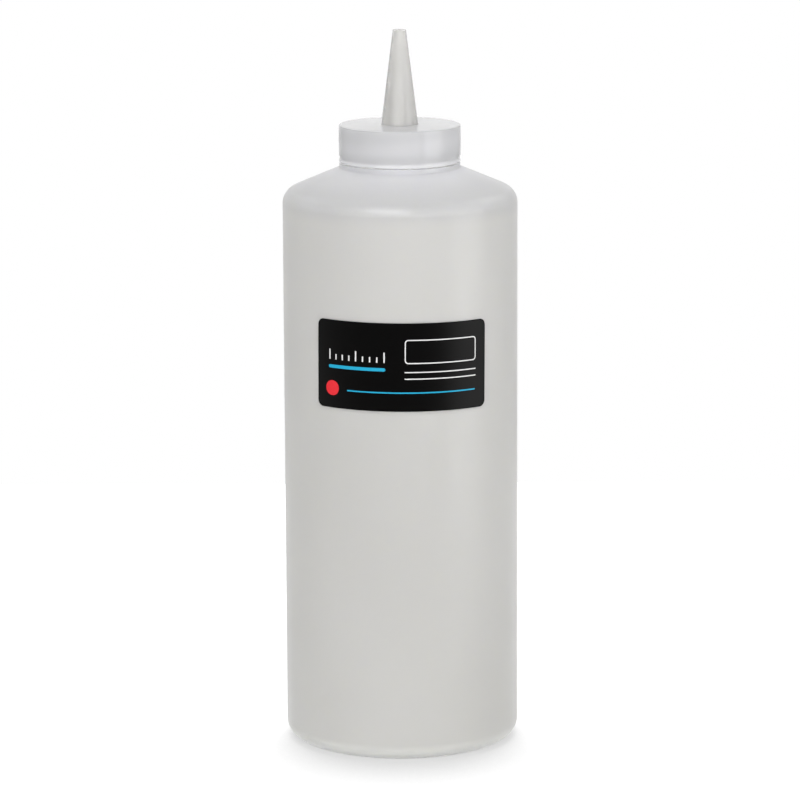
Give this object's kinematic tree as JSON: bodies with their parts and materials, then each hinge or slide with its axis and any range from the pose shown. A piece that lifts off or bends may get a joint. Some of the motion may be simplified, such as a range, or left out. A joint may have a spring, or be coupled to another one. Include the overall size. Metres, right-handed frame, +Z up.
{
  "type": "sauce bottle",
  "caption": "Tall round squeeze bottle for sauce in milky see-through plastic, with a screw cap that tapers into a pouring nozzle and a dark sticker on its front.",
  "frame": {"origin": "centre of the foot ring, on the surface that the bottle stands on", "axes": "+Z up along the bottle's axis to the nozzle's tip, -Y out of the label's middle"},
  "size_m": [0.078, 0.0782, 0.2391],
  "materials": {
    "blown_polyethylene": "milky see-through, soft satin",
    "moulded_polyethylene": "milky see-through, satin",
    "foam_polyethylene": "matt white foam",
    "printed_film": "satin black print on film"
  },
  "bodies": {
    "bottle": {"bottle": "blown_polyethylene", "label": "printed_film"},
    "washer": {"sealing_washer": "foam_polyethylene"},
    "cap": {"cap": "moulded_polyethylene"}
  },
  "joints": [
    {"name": "cap_rise", "type": "slide", "parent": "bottle", "child": "washer", "axis": [0, 0, 1], "range_m": [0, 0.0053]},
    {"name": "cap_turn", "type": "hinge", "parent": "washer", "child": "cap", "pos_m": [0, 0, 0.2], "axis": [0, 0, 1], "range_deg": [0, 450]}
  ],
  "couplings": [
    {"joint": "cap_rise", "follows": "cap_turn", "m_per_rad": 0.00067376}
  ]
}
